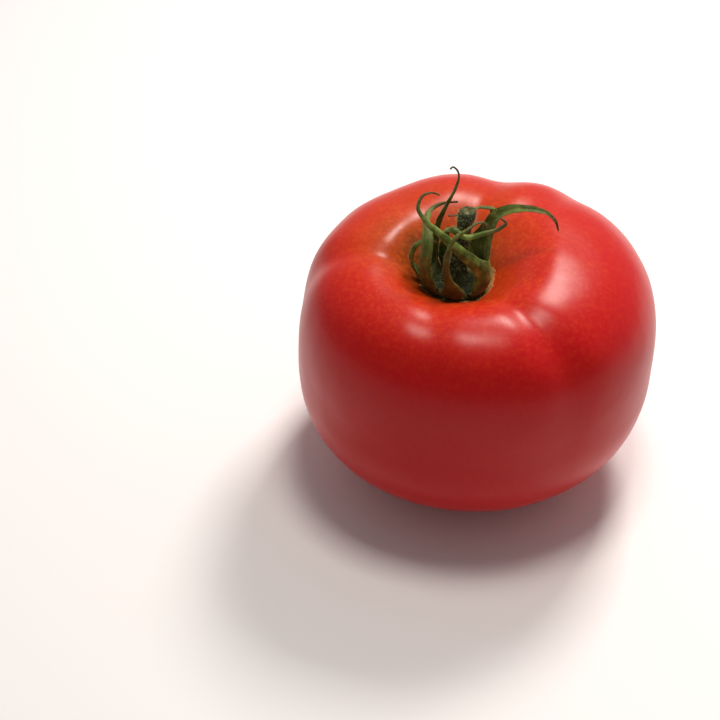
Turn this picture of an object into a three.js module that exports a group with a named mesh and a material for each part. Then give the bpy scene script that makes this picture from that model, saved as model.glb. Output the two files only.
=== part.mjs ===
// A ripe slicing tomato, as picked: one broad, lobed fruit that stands on the small flat spot at
// its blossom end, and in the hollow on top its cut stem with eight curled sepals round it.
// Millimetres, +Z up along the stem. The origin is the middle of the flat spot it rests on.
import * as THREE from "three";

// Fruit
const fruitRadius = 43; // mean radius at the widest level
const crownHeight = 33.6; // from the widest level up to the shoulders, as if there were no hollow
const underHeight = 32.4; // from the widest level down to the blossom end, as if it were not flat
const crownSquareness = 3.5; // superellipse exponent: 2 is an ellipse, more is squarer
const underSquareness = 2.4;
const restSpotRadius = 11; // the flat spot that the fruit stands on
const hollowDepth = 13.5; // the hollow that holds the stem
const hollowRadius = 14.5;
const hollowSteepness = 2.1;
const stemOffset = new THREE.Vector2(-6, -2.6); // the stem grows a little off the middle
const outline = [
  // how far the outline swells, as a share of the radius, this many times round
  { times: 2, swell: 0.024, towards: 39 },
  { times: 3, swell: 0.012, towards: -41 },
];
const creases = [
  // folds between the lobes: place round the stem and half-width in degrees, depth as a share
  { at: 76, depth: 0.05, width: 12 },
  { at: 47, depth: 0.022, width: 10 },
  { at: -61, depth: 0.03, width: 8 },
  { at: -110, depth: 0.018, width: 9 },
  { at: 179, depth: 0.028, width: 9 },
  { at: 122, depth: 0.012, width: 14 },
];
const shoulders = [
  // lobes that stand higher beside the hollow: towards and spread in degrees, the rest in millimetres
  { towards: -12, spread: 40, out: 18, width: 7, rise: 1.6 },
  { towards: 150, spread: 35, out: 16, width: 5, rise: 1.6 },
];
const creaseStart = 0.35; // share of the radius where a crease reaches its full depth
const creaseReach = 0.35; // how far below the widest level the creases fade out, as a direction's z
const fruitRows = 40;
const fruitColumns = 72;

// Stem, a stub cut above its swollen base
const stemRadius = 1.8;
const stemHeight = 23.2; // from the floor of the hollow to the cut
const stemLean = new THREE.Vector2(2.1, 1.5); // how far the cut end leans from the foot
const stemCutRadius = 2.05; // the joint swells where it was cut
const stemBaseRadius = 4.6; // the disc that the sepals grow from
const stemBaseRim = 1.3;
const stemGap = 0.4; // clearance under the base
const stemNeck = 0.36; // shares of the stem's height: where the base has narrowed to the stem,
const stemFlare = 0.75; // where the stem starts to swell
const stemJoint = 0.93; // and where the joint at the cut is widest
const stemBend = new THREE.Vector2(0.4, 0.3); // between rim and neck: share of the width left, of the rise
const stemSides = 20;
const stemRings = 24;

// Sepals
const footGap = 0.6; // from each sepal's foot to the stem's base and to the hollow
const turnLift = 0.4; // the turn rides this much higher, so that the wide edges clear the hollow
const footWidth = 2.3; // each sepal is narrowest where it leaves the stem's base
const calyxRadius = 7.6; // where the sepals stop spreading and turn up
const sepalThickness = 1;
const sepalTipThickness = 0.45;
const sepalTipWidth = 0.6;
const sepalCup = 0.12; // how far the edges curl inwards, as a share of the width
const turnAlong = 0.11; // shares of a sepal's length: where it is widest,
const strapAlong = 0.33; // where it has narrowed to a strap
const twistStart = 0.1; // and where its outer face starts and ends its turn
const twistEnd = 0.7;
const sepalSteps = 34;
const sepalSides = 10;

// One entry for each sepal, in order round the stem from the front. `at` is the angle of its foot,
// `width` is across the turn, `strap` above it, and a higher `taper` thins it sooner. `faces` is where
// its outer face has turned to by the tip, and each point of `path` is x and y from the stem's foot
// and the rise above the level where the calyx turns up.
const sepals = [
  {
    at: -98,
    width: 6,
    strap: 3,
    taper: 1.4,
    faces: [0, -1, 0.2],
    path: [
      [-2, -8.6, 4.7],
      [-3.1, -9, 9.8],
      [-2.7, -8.8, 15.2],
      [-1.1, -8, 18.4],
      [1.3, -6.8, 19.7],
      [3.6, -5.4, 20.5],
      [5.3, -4.6, 20.1],
      [6, -4.2, 18.2],
    ],
  },
  {
    at: -41,
    width: 7,
    strap: 5.2,
    taper: 1.3,
    faces: [-0.2, -1, 0.2],
    path: [
      [6.4, -4.8, 5],
      [3.4, -6, 9.6],
      [0.2, -6.4, 13],
      [-4.1, -5.6, 17],
      [-7.6, -4.4, 19.9],
      [-9.5, -3, 22.4],
      [-9.4, -1.8, 23.7],
      [-8.2, -0.6, 24.9],
      [-6.2, 0.4, 24.7],
      [-4.7, 1, 23.7],
    ],
  },
  {
    at: 25,
    width: 8,
    strap: 7,
    taper: 1.2,
    faces: [0.2, 0.4, -0.9],
    path: [
      [6.8, 4, 4.4],
      [7.3, 4.8, 8.6],
      [8.2, 5, 12.5],
      [9.7, 4.6, 15.4],
      [12, 3.8, 17.2],
      [14.7, 3, 18.1],
      [17.4, 2.2, 18.5],
      [20.1, 1.4, 18.1],
      [22.2, 0.8, 16.1],
      [22.9, 0.4, 13.9],
    ],
  },
  {
    at: 73,
    width: 3.6,
    strap: 2.8,
    taper: 0.7,
    faces: [0, 0.5, 0.85],
    path: [
      [4.3, 8.2, 5],
      [6.6, 8.5, 9.3],
      [8.4, 8, 12.9],
      [8.2, 7.4, 15],
      [6.3, 6.8, 15.7],
      [3.7, 6.4, 15.6],
      [1.2, 5.7, 14.6],
      [-2.2, 5.4, 14.2],
    ],
  },
  {
    at: 107,
    width: 3.6,
    strap: 2.8,
    taper: 0.6,
    faces: [0, -0.4, 0.9],
    path: [
      [-2.6, 6.8, 4],
      [-2.8, 4.2, 8.8],
      [-3, 1, 13.3],
      [-1.3, -2.6, 16.7],
      [1.4, -3.8, 15.4],
      [4.6, -3.6, 16],
      [8.8, -2.6, 16.9],
      [10.6, -1.8, 18],
      [9.4, -1.2, 18.7],
    ],
  },
  {
    at: 143,
    width: 5,
    strap: 4.4,
    taper: 1.6,
    faces: [-0.3, 0.9, 0.3],
    path: [
      [-5.6, 6.2, 4],
      [-5, 6, 9.9],
      [-3.7, 4.4, 16],
      [-2.2, 4.6, 19.6],
      [-0.7, 6.4, 22],
      [0, 7.4, 24],
      [-0.5, 8, 25.6],
      [-1.5, 8, 26.4],
      [-2.1, 7.8, 25.9],
    ],
  },
  {
    at: 177,
    width: 3.6,
    strap: 2.8,
    taper: 0.6,
    faces: [0, 0, 1],
    path: [
      [-9.6, -0.4, 2.8],
      [-10.9, -0.2, 6.6],
      [-9.9, 0.4, 9.5],
      [-8.1, 1, 10.5],
      [-6, 1.8, 10.2],
      [-4.8, 2.2, 8.6],
    ],
  },
  {
    at: -145,
    width: 6.6,
    strap: 5.8,
    taper: 1.1,
    faces: [-0.3, -0.5, 0.8],
    path: [
      [-7.4, -5.2, 3],
      [-8.1, -5.6, 8.8],
      [-7.6, -4.4, 13.3],
      [-7.3, -1.2, 15.4],
      [-7.4, 2.8, 15.6],
      [-6, 6.8, 15.4],
      [-3, 8.7, 15.6],
      [0.2, 8.8, 15.8],
    ],
  },
];

const degrees = THREE.MathUtils.DEG2RAD;
const { clamp, lerp, smoothstep } = THREE.MathUtils;

// How high the widest level is above the flat spot: the underside is cut where it is as wide as
// the spot.
const widestLevel =
  underHeight * (1 - (restSpotRadius / fruitRadius) ** underSquareness) ** (1 / underSquareness);
const hollowFloor = widestLevel + crownHeight - hollowDepth;

// How far the wall of the hollow has risen above its floor, this far from the stem.
function hollowRise(distance) {
  return hollowDepth * (1 - Math.exp(-((distance / hollowRadius) ** hollowSteepness)));
}

function angleBetween(a, b) {
  return Math.abs(THREE.MathUtils.euclideanModulo(a - b + 180, 360) - 180);
}

// How much deeper the folds make the surface at this angle round the stem.
function creaseDepth(angle) {
  return creases.reduce((depth, crease) => {
    const away = angleBetween(angle, crease.at);
    return depth + crease.depth * Math.exp(-((away / crease.width) ** 2));
  }, 0);
}

function shoulderRise(angle, distance) {
  return shoulders.reduce((height, { towards, spread, out, width, rise }) => {
    const round = (angleBetween(angle, towards) / spread) ** 2;
    return height + rise * Math.exp(-round - ((distance - out) / width) ** 2);
  }, 0);
}

function outlineSwell(angle) {
  return outline.reduce(
    (swell, wave) => swell + wave.swell * Math.cos(wave.times * (angle - wave.towards) * degrees),
    1,
  );
}

// The point of the fruit's skin in this direction from its middle.
function skinPoint(direction) {
  const across = Math.hypot(direction.x, direction.y);
  const angle = Math.atan2(direction.y, direction.x) / degrees;
  const crown = direction.z > 0;
  const squareness = crown ? crownSquareness : underSquareness;
  const reach = (across ** squareness + Math.abs(direction.z) ** squareness) ** (-1 / squareness);
  const share = across * reach;
  const fade = clamp(direction.z + creaseReach, 0, 1) ** 2 * clamp(share / creaseStart, 0, 1);
  const fold = creaseDepth(angle) * fade;
  const radius = fruitRadius * outlineSwell(angle) * share * (1 - fold);
  const level = (crown ? crownHeight : underHeight) * direction.z * reach * (1 - fold);
  const distance = fruitRadius * share;
  const sink = crown ? hollowDepth - hollowRise(distance) - shoulderRise(angle, distance) : 0;
  const shift = crown ? 1 - share ** 2 : 0;
  return new THREE.Vector3(
    radius * Math.cos(angle * degrees) + stemOffset.x * shift,
    radius * Math.sin(angle * degrees) + stemOffset.y * shift,
    Math.max(0, widestLevel + level - sink),
  );
}

function moveVertices(geometry, place) {
  const { position } = geometry.attributes;
  const vertex = new THREE.Vector3();
  for (let i = 0; i < position.count; i++) {
    const moved = place(vertex.fromBufferAttribute(position, i));
    position.setXYZ(i, moved.x, moved.y, moved.z);
  }
  geometry.deleteAttribute("uv");
  geometry.computeVertexNormals();
  return geometry;
}

function fruitGeometry() {
  const sphere = new THREE.SphereGeometry(1, fruitColumns, fruitRows).rotateX(Math.PI / 2);
  return moveVertices(sphere, skinPoint);
}

// The stem's outline from the middle of its base to the middle of its cut, as radius and height
// above the floor of the hollow. Its underside follows the hollow.
function stemProfile() {
  const underside = [0, 0.5, 1].map((share) => {
    const radius = stemBaseRadius * share;
    return new THREE.Vector2(radius, hollowRise(radius) + stemGap);
  });
  const rimHeight = hollowRise(stemBaseRadius) + stemGap + stemBaseRim;
  const neckHeight = stemHeight * stemNeck;
  const side = new THREE.SplineCurve([
    new THREE.Vector2(stemBaseRadius, rimHeight),
    new THREE.Vector2(
      lerp(stemRadius, stemBaseRadius, stemBend.x),
      lerp(rimHeight, neckHeight, stemBend.y),
    ),
    new THREE.Vector2(stemRadius, neckHeight),
    new THREE.Vector2(stemRadius, stemHeight * stemFlare),
    new THREE.Vector2(stemCutRadius, stemHeight * stemJoint),
    new THREE.Vector2(stemRadius, stemHeight),
  ]);
  return [...underside, ...side.getPoints(stemRings), new THREE.Vector2(0, stemHeight)];
}

function stemGeometry() {
  const lathe = new THREE.LatheGeometry(stemProfile(), stemSides).rotateX(Math.PI / 2);
  return moveVertices(lathe, (point) => {
    const lean = (point.z / stemHeight) ** 2;
    return point.add(new THREE.Vector3(stemLean.x * lean, stemLean.y * lean, 0));
  });
}

// The sepal's middle line: out from the stem's base, along the hollow, then up its own path.
function sepalCurve({ at, path }) {
  const lift = footGap + sepalThickness / 2;
  const turnHeight = hollowRise(calyxRadius) + lift;
  const spoke = (distance, height) =>
    new THREE.Vector3(distance * Math.cos(at * degrees), distance * Math.sin(at * degrees), height);
  const footDistance = stemBaseRadius + footGap;
  return new THREE.CatmullRomCurve3([
    spoke(footDistance, hollowRise(footDistance) + lift),
    spoke(calyxRadius, turnHeight + turnLift),
    ...path.map(([x, y, rise]) => new THREE.Vector3(x, y, turnHeight + rise)),
  ]);
}

// Narrow at its foot, widest where it turns up, then a strap that tapers to the tip.
function sepalWidthAt(along, { width, strap, taper }) {
  const blade = lerp(sepalTipWidth, strap, (1 - along) ** taper);
  const flare = lerp(width, blade, smoothstep(along, turnAlong, strapAlong));
  return lerp(footWidth, flare, smoothstep(along, 0, turnAlong));
}

// Wraps a closed cylinder round the middle line: flat, with a lens section whose edges curl in.
function sepalGeometry(sepal) {
  const curve = sepalCurve(sepal);
  const tipFacing = new THREE.Vector3(...sepal.faces).normalize();
  const footSide = new THREE.Vector3(-Math.sin(sepal.at * degrees), Math.cos(sepal.at * degrees), 0);
  const cylinder = new THREE.CylinderGeometry(1, 1, 1, sepalSides, sepalSteps);
  return moveVertices(cylinder, ({ x, y, z }) => {
    const along = clamp(y + 0.5, 0, 1);
    const tangent = curve.getTangentAt(along);
    const facing = footSide.clone().cross(tangent).lerp(tipFacing, smoothstep(along, twistStart, twistEnd));
    const side = tangent.clone().cross(facing).normalize();
    const outward = side.clone().cross(tangent);
    const width = sepalWidthAt(along, sepal);
    const thickness = lerp(sepalThickness, sepalTipThickness, along);
    const cup = sepalCup * width * x * x;
    return curve
      .getPointAt(along)
      .addScaledVector(side, (x * width) / 2)
      .addScaledVector(outward, (z * thickness) / 2 - cup);
  });
}

function addMesh(group, name, geometry, colour, roughness) {
  const material = new THREE.MeshStandardMaterial({ color: colour, roughness, metalness: 0 });
  const mesh = new THREE.Mesh(geometry, material);
  mesh.name = name;
  group.add(mesh);
}

const tomato = new THREE.Group();
addMesh(tomato, "fruit", fruitGeometry(), 0xc4201b, 0.28);

const calyx = new THREE.Group();
calyx.position.set(stemOffset.x, stemOffset.y, hollowFloor);
addMesh(calyx, "stem", stemGeometry(), 0x3f4a1f, 0.75);
sepals.forEach((sepal, index) => {
  addMesh(calyx, `sepal_${index + 1}`, sepalGeometry(sepal), 0x506329, 0.7);
});
tomato.add(calyx);

export default tomato;
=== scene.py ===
# A ripe slicing tomato, as picked. The fruit grows from one rule in Geometry Nodes, and in the hollow on
# top stand its cut stem and eight curled sepals, with the down that covers them. Metres, +Z up.
import math
import bpy
import numpy as np
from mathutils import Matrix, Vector, noise


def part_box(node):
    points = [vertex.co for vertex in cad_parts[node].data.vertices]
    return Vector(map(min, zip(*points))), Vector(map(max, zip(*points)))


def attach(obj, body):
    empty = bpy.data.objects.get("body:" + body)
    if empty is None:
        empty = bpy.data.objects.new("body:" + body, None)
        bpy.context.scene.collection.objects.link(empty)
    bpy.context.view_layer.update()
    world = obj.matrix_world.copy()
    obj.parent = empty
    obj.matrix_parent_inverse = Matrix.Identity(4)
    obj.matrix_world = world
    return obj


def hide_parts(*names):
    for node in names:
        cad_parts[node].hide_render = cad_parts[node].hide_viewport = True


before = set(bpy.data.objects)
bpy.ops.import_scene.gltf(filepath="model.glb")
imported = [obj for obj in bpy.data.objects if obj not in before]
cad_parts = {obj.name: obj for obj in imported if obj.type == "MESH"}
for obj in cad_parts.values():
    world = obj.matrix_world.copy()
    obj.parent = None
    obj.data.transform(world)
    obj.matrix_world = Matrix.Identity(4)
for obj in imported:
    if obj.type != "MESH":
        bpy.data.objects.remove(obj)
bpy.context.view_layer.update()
mm = 0.001


def hexColour(code):  # sRGB hex to linear
    parts = [int(code[i : i + 2], 16) / 255 for i in (1, 3, 5)]
    return [c / 12.92 if c <= 0.04045 else ((c + 0.055) / 1.055) ** 2.4 for c in parts] + [1]


def addNode(tree, kind, inputs=(), **settings):  # inputs by place or by name; gives back the first output
    node = tree.nodes.new(kind)
    for name, value in settings.items():
        setattr(node, name, value)
    for socket, value in inputs.items() if isinstance(inputs, dict) else enumerate(inputs):
        if isinstance(value, bpy.types.NodeSocket):
            tree.links.new(value, node.inputs[socket])
        else:
            node.inputs[socket].default_value = value
    return next((output for output in node.outputs if output.enabled), None)


def setRamp(output, stops):  # stops are place: sRGB hex
    ramp = output.node.color_ramp
    while len(ramp.elements) < len(stops):
        ramp.elements.new(1)
    for element, (place, code) in zip(ramp.elements, stops.items()):
        element.position = place
        element.color = hexColour(code)
    return output


def newMaterial(name):
    material = bpy.data.materials.new(name)
    material.use_nodes = True
    material.node_tree.nodes.clear()
    return material, material.node_tree


def newTree(name, sizes):  # a Geometry Nodes tree with one named input for each size
    tree = bpy.data.node_groups.new(name, "GeometryNodeTree")
    tree.interface.new_socket("Geometry", in_out="OUTPUT", socket_type="NodeSocketGeometry")
    tree.interface.new_socket("Geometry", in_out="INPUT", socket_type="NodeSocketGeometry")
    for size in sizes:
        tree.interface.new_socket(size, in_out="INPUT", socket_type="NodeSocketFloat")
    return tree, tree.nodes.new("NodeGroupInput").outputs


def addObject(name, mesh):
    piece = bpy.data.objects.new(name, mesh)
    bpy.context.scene.collection.objects.link(piece)
    return piece


def grow(tree, sizes, start, name):  # runs a tree on a mesh and gives back what grew as a plain mesh
    seed = addObject(name + "Seed", start)
    modifier = seed.modifiers.new(name, "NODES")
    modifier.node_group = tree
    for item in tree.interface.items_tree:
        if item.in_out == "INPUT" and item.name in sizes:
            modifier[item.identifier] = float(sizes[item.name])
    grown = bpy.data.meshes.new_from_object(seed.evaluated_get(bpy.context.evaluated_depsgraph_get()))
    bpy.data.objects.remove(seed)
    grown.name = name
    return grown


# The fruit, in millimetres and degrees, as the part is drawn
fruit = {
    "sizes": {
        "Radius": 43,
        "Crown Height": 33.6,
        "Under Height": 32.4,
        "Crown Squareness": 3.5,
        "Under Squareness": 2.4,
        "Rest Spot Radius": 11,
        "Rest Spot Edge": 0.8,  # how softly the skin rounds into the flat spot
        "Hollow Depth": 13.5,
        "Hollow Radius": 14.5,
        "Hollow Steepness": 2.1,
        "Crease Start": 0.35,
        "Crease Reach": 0.35,
        "Waviness": 0.22,  # the skin is never quite even
        "Wave Width": 13,
    },
    "swells": [(2, 0.024, 39), (3, 0.012, -41)],  # times round, share of the radius, towards
    "creases": [  # place round the stem, depth as a share, half-width
        (76, 0.05, 12),
        (47, 0.022, 10),
        (-61, 0.03, 8),
        (-110, 0.018, 9),
        (179, 0.028, 9),
        (122, 0.012, 14),
    ],
    "shoulders": [  # lobes that rise beside the hollow: place, way out, height, width, spread
        (-12, 18, 1.6, 7, 40),
        (150, 16, 1.6, 5, 35),
    ],
    "waveDetail": 1.5,
    "gridLines": 100,  # on each side of the cube that is blown up into the fruit
    "hollowFloor": 0.4,  # this far under the foot of the stem
}
stemLow, stemHigh = (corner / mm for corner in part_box("stem"))
stemMiddle = (stemLow + stemHigh) / 2
stemFoot = Vector((stemMiddle.x, stemMiddle.y, stemLow.z - fruit["hollowFloor"]))


def lobedFruit(skin):
    maths = "ShaderNodeMath"
    tree, size = newTree("Lobed Fruit", fruit["sizes"])
    lines = fruit["gridLines"]
    cube = addNode(tree, "GeometryNodeMeshCube", {"Vertices " + axis: lines for axis in "XYZ"})
    place = addNode(tree, "GeometryNodeInputPosition")
    direction = addNode(tree, "ShaderNodeVectorMath", (place,), operation="NORMALIZE")
    x, y, z = addNode(tree, "ShaderNodeSeparateXYZ", (direction,)).node.outputs
    flat = addNode(tree, "ShaderNodeCombineXYZ", (x, y, 0))
    across = addNode(tree, "ShaderNodeVectorMath", (flat,), operation="LENGTH").node.outputs["Value"]
    angle = addNode(tree, maths, (y, x), operation="ARCTAN2")
    crown = addNode(tree, maths, (z, 0), operation="GREATER_THAN")
    steep = addNode(tree, maths, (z,), operation="ABSOLUTE")

    # a superellipse, squarer above the widest level than under it
    squareness = addNode(
        tree, "ShaderNodeMix", {0: crown, 2: size["Under Squareness"], 3: size["Crown Squareness"]}
    )
    wide = addNode(tree, maths, (across, squareness), operation="POWER")
    tall = addNode(tree, maths, (steep, squareness), operation="POWER")
    both = addNode(tree, maths, (wide, tall), operation="ADD")
    root = addNode(tree, maths, (-1, squareness), operation="DIVIDE")
    reach = addNode(tree, maths, (both, root), operation="POWER")
    share = addNode(tree, maths, (across, reach), operation="MULTIPLY")

    # folds between the lobes
    crease = 0
    for at, depth, width in fruit["creases"]:
        away = addNode(tree, maths, (angle, math.radians(at)), operation="SUBTRACT")
        away = addNode(tree, maths, (away, math.pi, -math.pi), operation="WRAP")
        away = addNode(tree, maths, (away, math.radians(width)), operation="DIVIDE")
        away = addNode(tree, maths, (away, 2), operation="POWER")
        away = addNode(tree, maths, (away, -1), operation="MULTIPLY")
        dip = addNode(tree, maths, (away,), operation="EXPONENT")
        crease = addNode(tree, maths, (dip, depth, crease), operation="MULTIPLY_ADD")
    below = addNode(tree, maths, (z, size["Crease Reach"]), operation="ADD", use_clamp=True)
    below = addNode(tree, maths, (below, 2), operation="POWER")
    inner = addNode(tree, maths, (share, size["Crease Start"]), operation="DIVIDE", use_clamp=True)
    fade = addNode(tree, maths, (below, inner), operation="MULTIPLY")
    fold = addNode(tree, maths, (crease, fade), operation="MULTIPLY")
    kept = addNode(tree, maths, (1, fold), operation="SUBTRACT")

    # the outline is not round
    swell = 1
    for times, amount, towards in fruit["swells"]:
        wave = addNode(tree, maths, (angle, math.radians(towards)), operation="SUBTRACT")
        wave = addNode(tree, maths, (wave, times), operation="MULTIPLY")
        wave = addNode(tree, maths, (wave,), operation="COSINE")
        swell = addNode(tree, maths, (wave, amount, swell), operation="MULTIPLY_ADD")
    radius = addNode(tree, maths, (size["Radius"], swell), operation="MULTIPLY")
    radius = addNode(tree, maths, (radius, share), operation="MULTIPLY")
    radius = addNode(tree, maths, (radius, kept), operation="MULTIPLY")

    # height, with the hollow that holds the stem sunk into the crown
    height = addNode(tree, "ShaderNodeMix", {0: crown, 2: size["Under Height"], 3: size["Crown Height"]})
    level = addNode(tree, maths, (height, z), operation="MULTIPLY")
    level = addNode(tree, maths, (level, reach), operation="MULTIPLY")
    level = addNode(tree, maths, (level, kept), operation="MULTIPLY")
    out = addNode(tree, maths, (size["Radius"], share), operation="MULTIPLY")
    wall = addNode(tree, maths, (out, size["Hollow Radius"]), operation="DIVIDE")
    wall = addNode(tree, maths, (wall, size["Hollow Steepness"]), operation="POWER")
    wall = addNode(tree, maths, (wall, -1), operation="MULTIPLY")
    sink = addNode(tree, maths, (wall,), operation="EXPONENT")
    sink = addNode(tree, maths, (sink, size["Hollow Depth"]), operation="MULTIPLY")
    for at, middle, rise, width, spread in fruit["shoulders"]:
        aside = addNode(tree, maths, (angle, math.radians(at)), operation="SUBTRACT")
        aside = addNode(tree, maths, (aside, math.pi, -math.pi), operation="WRAP")
        aside = addNode(tree, maths, (aside, math.radians(spread)), operation="DIVIDE")
        aside = addNode(tree, maths, (aside, aside), operation="MULTIPLY")
        off = addNode(tree, maths, (out, middle), operation="SUBTRACT")
        off = addNode(tree, maths, (off, width), operation="DIVIDE")
        off = addNode(tree, maths, (off, off, aside), operation="MULTIPLY_ADD")
        off = addNode(tree, maths, (off, -1), operation="MULTIPLY")
        lobe = addNode(tree, maths, (off,), operation="EXPONENT")
        sink = addNode(tree, maths, (lobe, -rise, sink), operation="MULTIPLY_ADD")
    sink = addNode(tree, maths, (sink, crown), operation="MULTIPLY")
    spot = addNode(tree, maths, (size["Rest Spot Radius"], size["Radius"]), operation="DIVIDE")
    spot = addNode(tree, maths, (spot, size["Under Squareness"]), operation="POWER")
    spot = addNode(tree, maths, (1, spot), operation="SUBTRACT")
    turn = addNode(tree, maths, (1, size["Under Squareness"]), operation="DIVIDE")
    widest = addNode(tree, maths, (spot, turn), operation="POWER")
    level = addNode(tree, maths, (size["Under Height"], widest, level), operation="MULTIPLY_ADD")
    level = addNode(tree, maths, (level, sink), operation="SUBTRACT")

    # towards the top everything leans over to the stem
    lean = addNode(tree, maths, (share, 2), operation="POWER")
    lean = addNode(tree, maths, (1, lean), operation="SUBTRACT")
    lean = addNode(tree, maths, (lean, crown), operation="MULTIPLY")
    cosine = addNode(tree, maths, (angle,), operation="COSINE")
    sine = addNode(tree, maths, (angle,), operation="SINE")
    outX = addNode(tree, maths, (radius, cosine), operation="MULTIPLY")
    outX = addNode(tree, maths, (lean, stemFoot.x, outX), operation="MULTIPLY_ADD")
    outY = addNode(tree, maths, (radius, sine), operation="MULTIPLY")
    outY = addNode(tree, maths, (lean, stemFoot.y, outY), operation="MULTIPLY_ADD")
    point = addNode(tree, "ShaderNodeCombineXYZ", (outX, outY, level))

    # a little waviness, then the flat spot
    waveScale = addNode(tree, maths, (1, size["Wave Width"]), operation="DIVIDE")
    waves = {"Vector": point, "Scale": waveScale, "Detail": fruit["waveDetail"]}
    waves = addNode(tree, "ShaderNodeTexNoise", waves)
    waves = addNode(tree, maths, (waves, 0.5), operation="SUBTRACT")
    waves = addNode(tree, maths, (waves, size["Waviness"]), operation="MULTIPLY")
    waves = addNode(tree, maths, (waves, 2), operation="MULTIPLY")
    push = addNode(tree, "ShaderNodeVectorMath", {0: direction, "Scale": waves}, operation="SCALE")
    point = addNode(tree, "ShaderNodeVectorMath", (point, push), operation="ADD")
    atX, atY, atZ = addNode(tree, "ShaderNodeSeparateXYZ", (point,)).node.outputs
    atZ = addNode(tree, maths, (atZ, 0, size["Rest Spot Edge"]), operation="SMOOTH_MAX")
    point = addNode(tree, "ShaderNodeCombineXYZ", (atX, atY, atZ))
    point = addNode(tree, "ShaderNodeVectorMath", {0: point, "Scale": mm}, operation="SCALE")

    # what the skin's pattern follows: round the stem, and 0 at the stem to 2 at the blossom end
    under = addNode(tree, maths, (2, share), operation="SUBTRACT")
    down = addNode(tree, "ShaderNodeMix", {0: crown, 2: under, 3: share})
    wayRound = addNode(tree, "ShaderNodeCombineXYZ", (cosine, sine, down))
    grown = addNode(
        tree,
        "GeometryNodeStoreNamedAttribute",
        {"Geometry": cube, "Name": "roundStem", "Value": wayRound},
        data_type="FLOAT_VECTOR",
        domain="POINT",
    )
    grown = addNode(tree, "GeometryNodeSetPosition", {"Geometry": grown, "Position": point})
    grown = addNode(tree, "GeometryNodeSetShadeSmooth", {"Geometry": grown, "Shade Smooth": True})
    grown = addNode(tree, "GeometryNodeRealizeInstances", {"Geometry": grown})
    grown = addNode(tree, "GeometryNodeSetMaterial", {"Geometry": grown, "Material": skin})
    addNode(tree, "NodeGroupOutput", {"Geometry": grown})
    return tree


# Ripe tomato skin: a thin waxy cuticle over red flesh. It gives the eye a soft broad shine with fine
# streaks that run from the stem, orange shoulders that mottle into crimson, and a corky ring at the stem.
# Its colour also carries painted shade beside and in front of the calyx, and painted bounce light towards
# the blossom end.
skinLook = {
    "ripenessAndBounce": {  # by the way down from the stem, 0 to 1; the lighter, more orange stops towards 1 are painted bounce light from the table
        0.02: "#6e3a12",
        0.08: "#a44210",
        0.18: "#bc3610",
        0.28: "#c02410",
        0.36: "#c01a12",
        0.50: "#c21016",
        0.65: "#c41614",
        1.0: "#cc3020",
    },
    "patchSize": 22,  # mm, patches that ripen early or late
    "patchShift": 0.28,
    "rightRipeAndShade": 0.06,  # riper and darker red on the right, partly painted shade where the sepals shade the hollow
    "backRipeAndShade": -0.07,  # less ripe and more orange behind; riper and darker red in front, partly painted shade under the calyx's front
    "mottleColour": "#e8641e",
    "mottleSize": 1.3,  # mm
    "mottleShare": (0.46, 0.7, 0, 0.42),  # noise from and to, share of the colour from and to
    "highFade": (0.35, 1.0, 1, 0.12),  # way down from and to, strength from and to
    "speckColour": "#f08a3a",
    "speckSpacing": 0.9,  # mm
    "speckShare": (0.1, 0.24, 0.18, 0),  # way out from and to, share of the colour from and to
    "corkColours": ("#c79a5c", "#8a5a2c"),
    "corkRadius": 8.6,  # mm from the stem's middle
    "corkEdge": 0.5,  # mm
    "corkRagged": 3.2,  # mm, how far its edge wanders
    "corkRaggedSize": 2.5,  # mm
    "corkGrainSize": 0.7,  # mm
    "corkRoughness": 0.8,
    "corkRelief": 0.4,  # mm
    "scarEdge": (1.93, 1.95),  # way down, where the blossom's scar begins
    "streakWidth": 0.4,  # mm; the real ones are about a tenth of this
    "streakLength": 7,  # mm
    "streakRoughness": (-0.2, 0.2, 0.27, 0.35),  # noise from and to, roughness from and to
    "streakRelief": 0.01,  # mm
    "streakStrength": 0.3,
    "flesh": {
        "IOR": 1.3,
        "Subsurface Weight": 0.2,
        "Subsurface Radius": (1, 0.2, 0.08),
        "Subsurface Scale": 3 * mm,
    },
}


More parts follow.
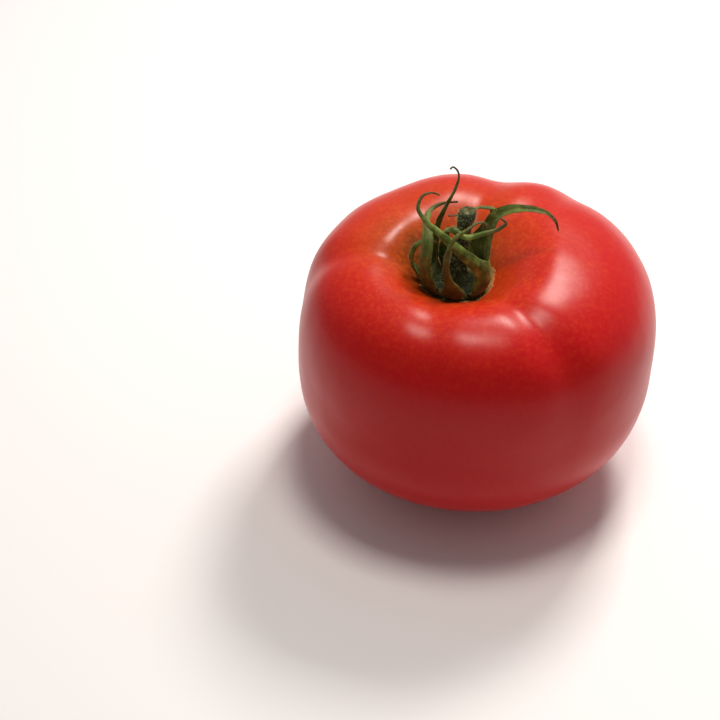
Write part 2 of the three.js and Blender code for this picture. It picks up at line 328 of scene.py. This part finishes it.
def ripeSkin():
    material, tree = newMaterial("ripe tomato skin, waxy")
    maths = "ShaderNodeMath"
    radius = fruit["sizes"]["Radius"]
    wayRound = addNode(tree, "ShaderNodeAttribute", attribute_name="roundStem").node.outputs["Vector"]
    toRight, toBack, down = addNode(tree, "ShaderNodeSeparateXYZ", (wayRound,)).node.outputs
    place = addNode(tree, "ShaderNodeTexCoord").node.outputs["Object"]

    patches = {"Vector": place, "Scale": 1 / (skinLook["patchSize"] * mm), "Detail": 3}
    patches = addNode(tree, "ShaderNodeTexNoise", patches)
    patches = addNode(tree, maths, (patches, 0.5), operation="SUBTRACT")
    ripe = addNode(tree, maths, (down, 0.5), operation="MULTIPLY")
    ripe = addNode(tree, maths, (patches, skinLook["patchShift"], ripe), operation="MULTIPLY_ADD")
    # the shifts right and front are partly ripening and partly painted shade beside and under the calyx
    ripe = addNode(tree, maths, (toRight, skinLook["rightRipeAndShade"], ripe), operation="MULTIPLY_ADD")
    ripe = addNode(tree, maths, (toBack, skinLook["backRipeAndShade"], ripe), operation="MULTIPLY_ADD")
    # the ramp's lighter, more orange lower end is painted bounce light from the table
    colour = setRamp(addNode(tree, "ShaderNodeValToRGB", (ripe,)), skinLook["ripenessAndBounce"])

    # orange mottle, strongest on the shoulders
    mottle = addNode(
        tree,
        "ShaderNodeTexNoise",
        {"Vector": place, "Scale": 1 / (skinLook["mottleSize"] * mm), "Detail": 5, "Roughness": 0.75},
    )
    mottle = addNode(tree, "ShaderNodeMapRange", (mottle, *skinLook["mottleShare"]))
    high = addNode(tree, "ShaderNodeMapRange", (down, *skinLook["highFade"]))
    mottle = addNode(tree, maths, (mottle, high), operation="MULTIPLY")
    orange = hexColour(skinLook["mottleColour"])
    colour = addNode(tree, "ShaderNodeMix", {0: mottle, 6: colour, 7: orange}, data_type="RGBA")

    # pale specks, the pores of the skin
    specks = {"Vector": place, "Scale": 1 / (skinLook["speckSpacing"] * mm)}
    specks = addNode(tree, "ShaderNodeTexVoronoi", specks)
    specks = addNode(tree, "ShaderNodeMapRange", (specks, *skinLook["speckShare"]))
    specks = addNode(tree, maths, (specks, high), operation="MULTIPLY")
    pale = hexColour(skinLook["speckColour"])
    colour = addNode(tree, "ShaderNodeMix", {0: specks, 6: colour, 7: pale}, data_type="RGBA")

    # the corky ring that the calyx leaves on the skin
    fromStem = addNode(tree, maths, (down, radius), operation="MULTIPLY")
    ragged = {"Vector": place, "Scale": 1 / (skinLook["corkRaggedSize"] * mm), "Detail": 4}
    ragged = addNode(tree, "ShaderNodeTexNoise", ragged)
    fromStem = addNode(tree, maths, (ragged, -skinLook["corkRagged"], fromStem), operation="MULTIPLY_ADD")
    edge = skinLook["corkRadius"] - skinLook["corkRagged"] / 2
    corky = addNode(tree, "ShaderNodeMapRange", (fromStem, edge, edge + skinLook["corkEdge"], 1, 0))
    corkGrain = {"Vector": place, "Scale": 1 / (skinLook["corkGrainSize"] * mm), "Detail": 5}
    corkGrain = addNode(tree, "ShaderNodeTexNoise", corkGrain)
    light, dark = (hexColour(code) for code in skinLook["corkColours"])
    corkColour = addNode(tree, "ShaderNodeMix", {0: corkGrain, 6: light, 7: dark}, data_type="RGBA")
    colour = addNode(tree, "ShaderNodeMix", {0: corky, 6: colour, 7: corkColour}, data_type="RGBA")
    scar = addNode(tree, "ShaderNodeMapRange", (down, *skinLook["scarEdge"], 0, 1))
    colour = addNode(tree, "ShaderNodeMix", {0: scar, 6: colour, 7: corkColour}, data_type="RGBA")

    # fine streaks from the stem down, and the grain of the cork
    around = radius / skinLook["streakWidth"]
    along = radius * math.pi / 2 / skinLook["streakLength"]
    finer = (around, around, along)
    streaks = addNode(tree, "ShaderNodeVectorMath", (wayRound, finer), operation="MULTIPLY")
    streaks = addNode(tree, "ShaderNodeTexNoise", {"Vector": streaks, "Scale": 1, "Detail": 2})
    streaks = addNode(tree, maths, (streaks, 0.5), operation="SUBTRACT")
    streaks = addNode(tree, maths, (streaks, high), operation="MULTIPLY")
    rough = addNode(tree, "ShaderNodeMapRange", (streaks, *skinLook["streakRoughness"]))
    rough = addNode(tree, "ShaderNodeMix", {0: corky, 2: rough, 3: skinLook["corkRoughness"]})
    relief = {"Strength": skinLook["streakStrength"], "Distance": skinLook["streakRelief"] * mm}
    relief = addNode(tree, "ShaderNodeBump", {**relief, "Height": streaks})
    corkHeight = addNode(tree, maths, (corkGrain, corky), operation="MULTIPLY")
    cork = {"Strength": 1, "Distance": skinLook["corkRelief"] * mm, "Height": corkHeight}
    relief = addNode(tree, "ShaderNodeBump", {**cork, "Normal": relief})
    skin = {"Base Color": colour, "Roughness": rough, "Normal": relief, **skinLook["flesh"]}
    addNode(tree, "ShaderNodeOutputMaterial", (addNode(tree, "ShaderNodeBsdfPrincipled", skin),))
    return material


def makeFruit():
    mesh = grow(lobedFruit(ripeSkin()), fruit["sizes"], bpy.data.meshes.new("seed"), "tomatoFruit")
    piece = addObject("tomatoFruit", mesh)
    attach(piece, "root")
    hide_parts("fruit")
    print("fruit:", len(mesh.polygons), "faces")


makeFruit()


# The calyx, in millimetres and degrees, as the part is drawn. Each sepal leaves the stem's base, turns
# up and follows its own path, given as x and y from the stem's foot and the rise above the turn.
calyx = {
    "footRadius": 4.6,
    "footWidth": 3.4,
    "turnRadius": 7.6,
    "turnLift": 0.4,
    "clearance": 1.1,  # from the hollow to the middle of the blade
    "turnAlong": 0.11,  # where it turns up and where the strap begins, as shares of the length
    "strapAlong": 0.33,
    "twist": (0.1, 0.7),  # and where it turns its face, from and to
    "thickness": 0.85,
    "tipThickness": 0.32,
    "tipWidth": 0.4,
    "edgeRoundness": 0.8,
    "edgeWander": 0.1,  # the edges wander in and out by this share of the width
    "edgeWanderStep": 2.2,
    "cup": 0.12,  # how hollow the blade is, as a share of its width
    "tipCup": 0.12,  # and how much more at the tip
    "keel": 0.12,  # the midrib stands this far out of the outer face
    "keelWidth": 0.17,  # as a share of half the width
    "keelFade": 0.7,  # what the tip has lost of it
    "vein": 0.05,
    "veins": 5,
    "wrinkle": 0.16,
    "wrinkleStep": (1.3, 1.6),  # across and along
    "edgeWave": 0.3,
    "edgeWaveStep": 2.8,
    "edgeWaveStart": 0.2,
    "curveSteps": 40,  # between two points of a path
    "rings": 130,
    "sides": 32,
}
sepals = {  # foot angle, width at the turn, width of the strap, taper, where the face turns to, path
    "sepal_1": (-98, 6, 3, 1.4, (0, -1, 0.2), [
        (-2, -8.6, 4.7), (-3.1, -9, 9.8), (-2.7, -8.8, 15.2), (-1.1, -8, 18.4), (1.3, -6.8, 19.7),
        (3.6, -5.4, 20.5), (5.3, -4.6, 20.1), (6, -4.2, 18.2)]),
    "sepal_2": (-41, 7, 5.2, 1.3, (-0.2, -1, 0.2), [
        (6.4, -4.8, 5), (3.4, -6, 9.6), (0.2, -6.4, 13), (-4.1, -5.6, 17), (-7.6, -4.4, 19.9),
        (-9.5, -3, 22.4), (-9.4, -1.8, 23.7), (-8.2, -0.6, 24.9), (-6.2, 0.4, 24.7), (-4.7, 1, 23.7)]),
    "sepal_3": (25, 8, 7, 1.2, (0.2, 0.4, -0.9), [
        (6.8, 4, 4.4), (7.3, 4.8, 8.6), (8.2, 5, 12.5), (9.7, 4.6, 15.4), (12, 3.8, 17.2),
        (14.7, 3, 18.1), (17.4, 2.2, 18.5), (20.1, 1.4, 18.1), (22.2, 0.8, 16.1), (22.9, 0.4, 13.9)]),
    "sepal_4": (73, 3.6, 2.8, 0.7, (0, 0.5, 0.85), [
        (4.3, 8.2, 5), (6.6, 8.5, 9.3), (8.4, 8, 12.9), (8.2, 7.4, 15), (6.3, 6.8, 15.7),
        (3.7, 6.4, 15.6), (1.2, 5.7, 14.6), (-2.2, 5.4, 14.2)]),
    "sepal_5": (107, 3.6, 2.8, 0.6, (0, -0.4, 0.9), [
        (-2.6, 6.8, 4), (-2.8, 4.2, 8.8), (-3, 1, 13.3), (-1.3, -2.6, 16.7), (1.4, -3.8, 15.4),
        (4.6, -3.6, 16), (8.8, -2.6, 16.9), (10.6, -1.8, 18), (9.4, -1.2, 18.7)]),
    "sepal_6": (143, 5, 4.4, 1.6, (-0.3, 0.9, 0.3), [
        (-5.6, 6.2, 4), (-5, 6, 9.9), (-3.7, 4.4, 16), (-2.2, 4.6, 19.6), (-0.7, 6.4, 22),
        (0, 7.4, 24), (-0.5, 8, 25.6), (-1.5, 8, 26.4), (-2.1, 7.8, 25.9)]),
    "sepal_7": (177, 3.6, 2.8, 0.6, (0, 0, 1), [
        (-9.6, -0.4, 2.8), (-10.9, -0.2, 6.6), (-9.9, 0.4, 9.5), (-8.1, 1, 10.5), (-6, 1.8, 10.2),
        (-4.8, 2.2, 8.6)]),
    "sepal_8": (-145, 6.6, 5.8, 1.1, (-0.3, -0.5, 0.8), [
        (-7.4, -5.2, 3), (-8.1, -5.6, 8.8), (-7.6, -4.4, 13.3), (-7.3, -1.2, 15.4), (-7.4, 2.8, 15.6),
        (-6, 6.8, 15.4), (-3, 8.7, 15.6), (0.2, 8.8, 15.8)]),
}


def smooth(value, low, high):
    share = np.clip((value - low) / (high - low), 0, 1)
    return share * share * (3 - 2 * share)


def hollowRise(distance):  # how far the hollow's wall has risen, this far from the stem
    size = fruit["sizes"]
    wall = (distance / size["Hollow Radius"]) ** size["Hollow Steepness"]
    return size["Hollow Depth"] * (1 - math.exp(-wall))


def evenCurve(points, count):  # a centripetal spline through the points, cut into equal lengths
    points = [2 * points[0] - points[1], *points, 2 * points[-1] - points[-2]]
    dense = []
    for p0, p1, p2, p3 in zip(points, points[1:], points[2:], points[3:]):
        d0, d1, d2 = (math.sqrt(np.linalg.norm(b - a)) for a, b in ((p0, p1), (p1, p2), (p2, p3)))
        start = ((p1 - p0) / d0 - (p2 - p0) / (d0 + d1) + (p2 - p1) / d1) * d1
        end = ((p2 - p1) / d1 - (p3 - p1) / (d1 + d2) + (p3 - p2) / d2) * d1
        t = np.linspace(0, 1, calyx["curveSteps"], endpoint=False)[:, None]
        bend = 3 * (p2 - p1) - 2 * start - end
        dense.append(p1 + start * t + bend * t**2 + (2 * (p1 - p2) + start + end) * t**3)
    dense = np.vstack([*dense, points[-2][None]])
    length = np.r_[0, np.cumsum(np.linalg.norm(np.diff(dense, axis=0), axis=1))]
    even = np.linspace(0, length[-1], count)
    return np.stack([np.interp(even, length, dense[:, k]) for k in range(3)], axis=1), length[-1]


def unit(vectors):
    return vectors / np.linalg.norm(vectors, axis=-1, keepdims=True)


def wobble(seed, across, along):  # smooth noise from -1 to 1 for each place, in a layer for each seed
    layer = seed * 7.3
    places = zip(across.ravel(), along.ravel())
    return np.array([noise.noise(Vector((a, b, layer))) for a, b in places]).reshape(across.shape)


def closedTube(rings, name, marks, material, age=0):  # rings of points and two caps, in millimetres
    count, sides, _ = rings.shape
    ends = np.stack([rings[0].mean(0), rings[-1].mean(0)])
    points = np.vstack([rings.reshape(-1, 3), ends]) * mm
    faces = []
    for i in range(count - 1):
        for j in range(sides):
            k = (j + 1) % sides
            faces.append((i * sides + j, i * sides + k, (i + 1) * sides + k, (i + 1) * sides + j))
    for j in range(sides):
        k = (j + 1) % sides
        faces.append((count * sides, k, j))
        faces.append((count * sides + 1, (count - 1) * sides + j, (count - 1) * sides + k))
    mesh = bpy.data.meshes.new(name)
    mesh.from_pydata(points.tolist(), [], faces)
    marks = np.vstack([marks.reshape(-1, 3), marks[0].mean(0), marks[-1].mean(0)])
    bladePlace = mesh.attributes.new("bladePlace", "FLOAT_VECTOR", "POINT")
    bladePlace.data.foreach_set("vector", marks.astype(np.float32).ravel())
    mesh.attributes.new("age", "FLOAT", "POINT").data.foreach_set("value", [age] * len(points))
    mesh.shade_smooth()
    mesh.materials.append(material)
    return mesh


def sepalMesh(name, material):
    at, width, strap, taper, faces, path = sepals[name]
    seed = list(sepals).index(name) + 1
    spoke = np.array([math.cos(math.radians(at)), math.sin(math.radians(at)), 0])
    up = np.array([0, 0, 1])
    lift = calyx["clearance"]
    turnHeight = hollowRise(calyx["turnRadius"]) + lift
    foot = spoke * calyx["footRadius"] + up * (hollowRise(calyx["footRadius"]) + lift)
    turn = spoke * calyx["turnRadius"] + up * (turnHeight + calyx["turnLift"])
    points = [foot, turn, *(np.array([x, y, turnHeight + z]) for x, y, z in path)]
    line, length = evenCurve(points, calyx["rings"])
    along = np.linspace(0, 1, calyx["rings"])[:, None]
    tangent = unit(np.gradient(line, axis=0))
    first = np.cross(np.array([-spoke[1], spoke[0], 0]), tangent)
    turned = smooth(along, *calyx["twist"])
    facing = first * (1 - turned) + unit(np.array(faces)) * turned
    side = unit(np.cross(tangent, facing))
    outward = np.cross(side, tangent)

    # the width: a foot, a flare where it turns up, then a tapering strap with a dry, thin tip
    blade = calyx["tipWidth"] + (strap - calyx["tipWidth"]) * (1 - along) ** taper
    flare = width + (blade - width) * smooth(along, calyx["turnAlong"], calyx["strapAlong"])
    wide = calyx["footWidth"] + (flare - calyx["footWidth"]) * smooth(along, 0, calyx["turnAlong"])
    angle = np.linspace(0, 2 * math.pi, calyx["sides"], endpoint=False)[None, :]
    x, z = np.cos(angle) + 0 * along, np.sin(angle) + 0 * along
    mmAlong = along * length + 0 * x
    edge = 1 + calyx["edgeWander"] * wobble(seed, mmAlong / calyx["edgeWanderStep"], np.sign(x) * 5)
    across = x * wide / 2 * edge
    thick = (calyx["thickness"] + (calyx["tipThickness"] - calyx["thickness"]) * along) / 2
    relief = calyx["keel"] * np.exp(-((x / calyx["keelWidth"]) ** 2)) * (1 - calyx["keelFade"] * along)
    relief = relief + calyx["vein"] * np.cos(x * calyx["veins"] * math.pi) * (1 - along)
    stepAcross, stepAlong = calyx["wrinkleStep"]
    relief = relief + calyx["wrinkle"] * wobble(seed + 20, across / stepAcross, mmAlong / stepAlong)
    wave = wobble(seed + 40, np.sign(x) * 3, mmAlong / calyx["edgeWaveStep"])
    relief = relief + calyx["edgeWave"] * x**4 * wave * smooth(along, 0, calyx["edgeWaveStart"])
    relief = relief - (calyx["cup"] + calyx["tipCup"] * along) * wide * x * x
    depth = np.sign(z) * np.abs(z) ** calyx["edgeRoundness"] * thick + relief
    rings = line[:, None] + side[:, None] * across[..., None] + outward[:, None] * depth[..., None]
    rings = rings + np.array(stemFoot)
    marks = np.stack([across, mmAlong, along + 0 * x], axis=-1)
    return closedTube(rings, name + "_blade", marks, material, sepalLook["ages"][seed - 1])


# Downy leaf: blotched yellow green with darker veins and a little sheen from the down, gone brown at the
# foot and dry at the tips. Some sepals have turned further to olive brown than others.
sepalLook = {
    "leaf": {0.0: "#3d4c12", 0.35: "#5a721e", 0.6: "#738c2c", 1.0: "#a2ae58"},
    "blotchSize": 2.4,  # mm
    "blotchContrast": (0.3, 0.72),
    "old": "#5a4a18",
    "ages": [0.5, 0.05, 0.2, 0.1, 0.0, 0.4, 0.1, 0.3],  # how far each has turned, in order
    "vein": "#2e3a16",
    "veinSpacing": 0.7,  # mm
    "veinLength": 6.25,  # mm
    "veinShare": (0.35, 0.65, 0.45, 0),  # noise from and to, share of the colour from and to
    "veinHeight": 1.5,  # against the grain
    "foot": "#3b2a10",
    "footShare": (3, 8, 0.6, 0),  # mm from the foot, share of the colour from and to
    "footRagged": 5,  # mm
    "tip": "#5a3a22",
    "tipShare": (0.76, 0.97, 0, 0.9),  # way along from and to, share of the colour from and to
    "tipRagged": 0.35,
    "grainSize": 0.35,  # mm
    "relief": 0.15,  # mm
    "reliefStrength": 0.7,
    "surface": {
        "Roughness": 0.58,
        "IOR": 1.42,
        "Sheen Weight": 0.18,
        "Sheen Roughness": 0.4,
        "Sheen Tint": hexColour("#c9d6a0"),
    },
}


def sepalLeaf():
    material, tree = newMaterial("downy tomato sepal")
    maths = "ShaderNodeMath"
    blade = addNode(tree, "ShaderNodeAttribute", attribute_name="bladePlace").node.outputs["Vector"]
    _, mmAlong, along = addNode(tree, "ShaderNodeSeparateXYZ", (blade,)).node.outputs
    place = addNode(tree, "ShaderNodeTexCoord").node.outputs["Object"]
    blotch = {"Vector": place, "Scale": 1 / (sepalLook["blotchSize"] * mm), "Detail": 5}
    blotch = addNode(tree, "ShaderNodeTexNoise", blotch)
    colour = addNode(tree, "ShaderNodeMapRange", (blotch, *sepalLook["blotchContrast"]))
    colour = setRamp(addNode(tree, "ShaderNodeValToRGB", (colour,)), sepalLook["leaf"])
    veins = (1 / sepalLook["veinSpacing"], 1 / sepalLook["veinLength"], 0)
    veins = addNode(tree, "ShaderNodeVectorMath", (blade, veins), operation="MULTIPLY")
    veins = addNode(tree, "ShaderNodeTexNoise", {"Vector": veins, "Scale": 1, "Detail": 3})
    dark = addNode(tree, "ShaderNodeMapRange", (veins, *sepalLook["veinShare"]))
    age = addNode(tree, "ShaderNodeAttribute", attribute_name="age").node.outputs["Fac"]
    ragged = addNode(tree, maths, (blotch, 0.5), operation="SUBTRACT")
    low = addNode(tree, maths, (ragged, sepalLook["footRagged"], mmAlong), operation="MULTIPLY_ADD")
    low = addNode(tree, "ShaderNodeMapRange", (low, *sepalLook["footShare"]))
    dry = addNode(tree, maths, (ragged, sepalLook["tipRagged"], along), operation="MULTIPLY_ADD")
    dry = addNode(tree, "ShaderNodeMapRange", (dry, *sepalLook["tipShare"]))
    for part, share in {"vein": dark, "old": age, "foot": low, "tip": dry}.items():
        over = {0: share, 6: colour, 7: hexColour(sepalLook[part])}
        colour = addNode(tree, "ShaderNodeMix", over, data_type="RGBA")
    grain = {"Vector": place, "Scale": 1 / (sepalLook["grainSize"] * mm), "Detail": 3}
    grain = addNode(tree, "ShaderNodeTexNoise", grain)
    height = addNode(tree, maths, (veins, sepalLook["veinHeight"], grain), operation="MULTIPLY_ADD")
    relief = {"Strength": sepalLook["reliefStrength"], "Distance": sepalLook["relief"] * mm}
    relief = addNode(tree, "ShaderNodeBump", {**relief, "Height": height})
    leaf = {"Base Color": colour, "Normal": relief, **sepalLook["surface"]}
    addNode(tree, "ShaderNodeOutputMaterial", (addNode(tree, "ShaderNodeBsdfPrincipled", leaf),))
    return material


def makeSepals():
    leaf = sepalLeaf()
    pieces = []
    for name in sepals:
        piece = addObject(name + "_blade", sepalMesh(name, leaf))
        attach(piece, "root")
        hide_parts(name)
        pieces.append(piece)
    print("sepals:", len(pieces))
    return pieces


# The stem, in millimetres from the floor of the hollow, as the part is drawn
stem = {
    "height": 23.2,
    "lean": (2.1, 1.5),
    "outline": [  # radius and height
        (0, 0.4), (2.4, 0.6), (4.9, 1.5), (5.6, 2.2), (5.2, 3.1), (3.6, 4.2), (2.5, 6), (2.0, 8.6),
        (1.8, 12), (1.7, 16.5), (1.75, 19.5), (2.05, 21.4), (2.0, 22.4), (1.75, 23.0), (1.5, 23.1)],
    "rings": 150,
    "sides": 48,
    "ridges": 5,
    "ridgeDepth": 0.07,
    "ridgeStart": (5, 8),  # above the swollen base
    "ridgeTwist": 6,  # mm of height for each radian
    "lumps": 0.14,  # uneven swellings that run the whole way up
    "lumpStart": (1.5, 3),
    "cutSteps": (0.93, 0.85, 0.6, 0.35, 0.12),  # rings of the cut face, as shares of its radius
    "cutDip": 0.5,
    "cutGrain": 0.06,
}


def stemMesh(skin, cut):
    outline = [np.array([r, h, 0.0]) for r, h in stem["outline"]]
    profile, _ = evenCurve(outline, stem["rings"])
    angle = np.linspace(0, 2 * math.pi, stem["sides"], endpoint=False)[None, :]
    radius, height = profile[:, :1] + 0 * angle, profile[:, 1:2] + 0 * angle
    ridge = np.cos(stem["ridges"] * angle + height / stem["ridgeTwist"])
    ridge = stem["ridgeDepth"] * ridge * smooth(height, *stem["ridgeStart"])
    lump = stem["lumps"] * wobble(70, angle * 3 / math.pi, 0.2 + 0 * angle)
    lump = lump * smooth(np.abs(angle - math.pi), math.pi, math.pi * 0.8)  # so that the seam closes
    radius = radius + (ridge + lump) * smooth(height, *stem["lumpStart"])
    leanX, leanY = ((height / stem["height"]) ** 2 * way for way in stem["lean"])
    rings = np.stack([radius * np.cos(angle) + leanX, radius * np.sin(angle) + leanY, height], axis=-1)
    steps = []
    rim = rings[-1]
    middle = rim.mean(0)
    for share in stem["cutSteps"]:  # the cut face, sunken where the pith has dried
        ring = middle + (rim - middle) * share
        grain = [noise.noise(Vector((math.cos(a) * 2, math.sin(a) * 2, share * 9))) for a in angle[0]]
        ring[:, 2] -= stem["cutDip"] * (1 - share) ** 0.5 + stem["cutGrain"] * np.array(grain)
        steps.append(ring)
    rings = np.concatenate([rings, np.array(steps)]) + np.array(stemFoot)
    marks = np.zeros(rings.shape)
    marks[..., 1] = rings[..., 2] - stemFoot.z
    mesh = closedTube(rings, "cutStem", marks, skin)
    mesh.materials.append(cut)
    sides = stem["sides"]
    first = (stem["rings"] - 1) * sides
    ends = list(mesh.polygons)[-1 : -2 * sides : -2]  # every second one of the last, the fan at the top
    for face in [*mesh.polygons[first : first + len(steps) * sides], *ends]:
        face.material_index = 1
    return mesh


# Dark green bark with long fibres under short down, painted near black as painted shade from the sepals
# that stand over it, and pith that has dried to a pitted olive brown where the stem was cut: both are
# matt.
stemLook = {
    "relief": 0.2,  # mm
    "contrast": (0.3, 0.7),
    "shadedBark": {
        # near black: the bark's green darkened as painted shade from the sepals
        "colours": {0.0: "#14190b", 0.5: "#262e12", 1.0: "#3c471e"},
        "grainSize": 0.5,  # mm
        "stretch": 0.2,  # along the stem, so that the grain is five times as long
        "detail": 4,
        "reliefStrength": 0.8,
        "roughness": 0.7,
    },
    "cut": {
        "colours": {0.0: "#2e2c16", 0.5: "#5c5a2e", 1.0: "#8a8050"},
        "grainSize": 0.6,  # mm
        "stretch": 1,
        "detail": 5,
        "reliefStrength": 0.9,
        "roughness": 0.8,
    },
}


def stemTissue(name, tissue):
    material, tree = newMaterial(name)
    place = addNode(tree, "ShaderNodeTexCoord").node.outputs["Object"]
    long = addNode(tree, "ShaderNodeVectorMath", (place, (1, 1, tissue["stretch"])), operation="MULTIPLY")
    grain = {"Vector": long, "Scale": 1 / (tissue["grainSize"] * mm), "Detail": tissue["detail"]}
    grain = addNode(tree, "ShaderNodeTexNoise", grain)
    colour = addNode(tree, "ShaderNodeMapRange", (grain, *stemLook["contrast"]))
    colour = setRamp(addNode(tree, "ShaderNodeValToRGB", (colour,)), tissue["colours"])
    relief = {"Strength": tissue["reliefStrength"], "Distance": stemLook["relief"] * mm}
    relief = addNode(tree, "ShaderNodeBump", {**relief, "Height": grain})
    surface = {"Base Color": colour, "Roughness": tissue["roughness"], "Normal": relief}
    addNode(tree, "ShaderNodeOutputMaterial", (addNode(tree, "ShaderNodeBsdfPrincipled", surface),))
    return material


def makeStem():
    shadedBark = stemTissue("downy tomato stem", stemLook["shadedBark"])
    pith = stemTissue("dried stem pith", stemLook["cut"])
    piece = addObject("cutStem", stemMesh(shadedBark, pith))
    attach(piece, "root")
    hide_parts("stem")
    print("stem:", len(piece.data.polygons), "faces")
    return piece


# Down: short pale hairs all over the calyx, in millimetres. Real ones are 0.03 mm thick, too fine to show,
# so these are about twice as thick at the root and there are fewer of them.
down = {
    "sizes": {"Hairs Per Square Mm": 5.5, "Hair Length": 0.85, "Hair Radius": 0.035, "Lean": 0.5},
    "lengths": (0.45, 1.3),  # of a hair, as shares
    "seed": 11,
    "colour": "#a3ad74",
    "roughness": 0.55,
}


def downTree(material):
    tree, size = newTree("Down", down["sizes"])
    maths = "ShaderNodeMath"
    density = addNode(tree, maths, (size["Hairs Per Square Mm"], 1 / mm**2), operation="MULTIPLY")
    points = addNode(
        tree,
        "GeometryNodeDistributePointsOnFaces",
        {"Mesh": size["Geometry"], "Density": density, "Seed": down["seed"]},
    )
    turn = points.node.outputs["Rotation"]
    thick = addNode(tree, maths, (size["Hair Radius"], mm), operation="MULTIPLY")
    long = addNode(tree, maths, (size["Hair Length"], mm), operation="MULTIPLY")
    hair = addNode(tree, "GeometryNodeMeshCone", {"Vertices": 3, "Radius Bottom": thick, "Depth": long})
    lean = {0: (1, 1, 0), "Scale": size["Lean"]}
    lean = addNode(tree, "ShaderNodeVectorMath", lean, operation="SCALE")
    leanBack = addNode(tree, "ShaderNodeVectorMath", {0: lean, "Scale": -1}, operation="SCALE")
    tilt = addNode(
        tree,
        "FunctionNodeRandomValue",
        {0: leanBack, 1: lean, "Seed": down["seed"] + 1},
        data_type="FLOAT_VECTOR",
    )
    turn = addNode(tree, "FunctionNodeRotateRotation", (turn, tilt), rotation_space="LOCAL")
    shortest, longest = down["lengths"]
    length = {2: shortest, 3: longest, "Seed": down["seed"] + 2}
    length = addNode(tree, "FunctionNodeRandomValue", length, data_type="FLOAT")
    stretch = addNode(tree, "ShaderNodeCombineXYZ", (1, 1, length))
    grown = addNode(
        tree,
        "GeometryNodeInstanceOnPoints",
        {"Points": points, "Instance": hair, "Rotation": turn, "Scale": stretch},
    )
    grown = addNode(tree, "GeometryNodeRealizeInstances", {"Geometry": grown})
    grown = addNode(tree, "GeometryNodeSetMaterial", {"Geometry": grown, "Material": material})
    addNode(tree, "NodeGroupOutput", {"Geometry": grown})
    return tree


def hairMaterial():
    material, tree = newMaterial("plant down")
    hair = {"Base Color": hexColour(down["colour"]), "Roughness": down["roughness"]}
    addNode(tree, "ShaderNodeOutputMaterial", (addNode(tree, "ShaderNodeBsdfPrincipled", hair),))
    return material


def makeDown(pieces):
    points, faces = [], []
    for piece in pieces:
        start = len(points)
        points += [vertex.co[:] for vertex in piece.data.vertices]
        faces += [[start + i for i in face.vertices] for face in piece.data.polygons]
    skin = bpy.data.meshes.new("calyxSkin")
    skin.from_pydata(points, [], faces)
    mesh = grow(downTree(hairMaterial()), down["sizes"], skin, "calyxDown")
    piece = addObject("calyxDown", mesh)
    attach(piece, "root")
    print("down:", len(mesh.polygons) // 4, "hairs")


makeDown([*makeSepals(), makeStem()])

# The camera, in metres and degrees
look = {
    "elevation": 43,
    "distance": 0.4214,
    "aim": Vector((-0.0283, 0, -0.0052)),  # from the middle of the fruit's box
    "lens": 85,
}


def addCamera():
    low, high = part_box("fruit")
    aim = (low + high) / 2 + look["aim"]
    tilt = math.radians(look["elevation"])
    camera = bpy.data.objects.new("camera", bpy.data.cameras.new("camera"))
    camera.data.lens = look["lens"]
    camera.location = aim + look["distance"] * Vector((0, -math.cos(tilt), math.sin(tilt)))
    camera.rotation_euler = (math.pi / 2 - tilt, 0, 0)
    bpy.context.scene.collection.objects.link(camera)
    bpy.context.scene.camera = camera


# Two soft lamps over a white table, one behind on the right and one above, for the shines on the shoulders
lights = {  # where it hangs in metres, width and length, watts, and colour
    "softbox": ((0.17, 0.33, 0.49), (0.15, 0.15), 2.5, "#fff6f0"),
    "overhead": ((0.02, 0.03, 0.64), (0.15, 0.13), 1.65, "#fff4ea"),
}
lampAim = Vector((0, 0, 0.03))
walls = {  # a pale room, dark on the side that the camera stands on
    "colour": "#ffffff",
    "darkSide": Vector((-0.2, -0.93, 0.3)),
    "fade": (-0.3, 0.6, 0.4, 0.15),  # from, to, bright, dark
}
ground = {"wide": 3, "colour": "#fbfbfb", "roughness": 0.6}


def addLights():
    for name, (place, size, watts, code) in lights.items():
        lamp = bpy.data.lights.new(name, "AREA")
        lamp.shape = "RECTANGLE"
        lamp.size, lamp.size_y = size
        lamp.energy = watts
        lamp.color = hexColour(code)[:3]
        holder = bpy.data.objects.new(name, lamp)
        holder.location = place
        holder.rotation_euler = (lampAim - holder.location).to_track_quat("-Z", "Y").to_euler()
        bpy.context.scene.collection.objects.link(holder)
    world = bpy.data.worlds.new("studio")
    world.use_nodes = True
    tree = world.node_tree
    tree.nodes.clear()
    direction = addNode(tree, "ShaderNodeTexCoord").node.outputs["Generated"]
    towards = (direction, walls["darkSide"])
    towards = addNode(tree, "ShaderNodeVectorMath", towards, operation="DOT_PRODUCT").node.outputs["Value"]
    fade = (towards, *walls["fade"])
    fade = addNode(tree, "ShaderNodeMapRange", fade, interpolation_type="SMOOTHSTEP")
    sky = {"Color": hexColour(walls["colour"]), "Strength": fade}
    addNode(tree, "ShaderNodeOutputWorld", (addNode(tree, "ShaderNodeBackground", sky),))
    bpy.context.scene.world = world
    bpy.context.scene.view_settings.view_transform = "Standard"


def addFloor():
    material, tree = newMaterial("white table laminate, matt")
    paint = {"Base Color": hexColour(ground["colour"]), "Roughness": ground["roughness"]}
    addNode(tree, "ShaderNodeOutputMaterial", (addNode(tree, "ShaderNodeBsdfPrincipled", paint),))
    half = ground["wide"] / 2
    corners = [(-half, -half, 0), (half, -half, 0), (half, half, 0), (-half, half, 0)]
    mesh = bpy.data.meshes.new("table")
    mesh.from_pydata(corners, [], [(0, 1, 2, 3)])
    mesh.materials.append(material)
    addObject("table", mesh)


addCamera()
addLights()
addFloor()
print("stage: camera, lights and table")
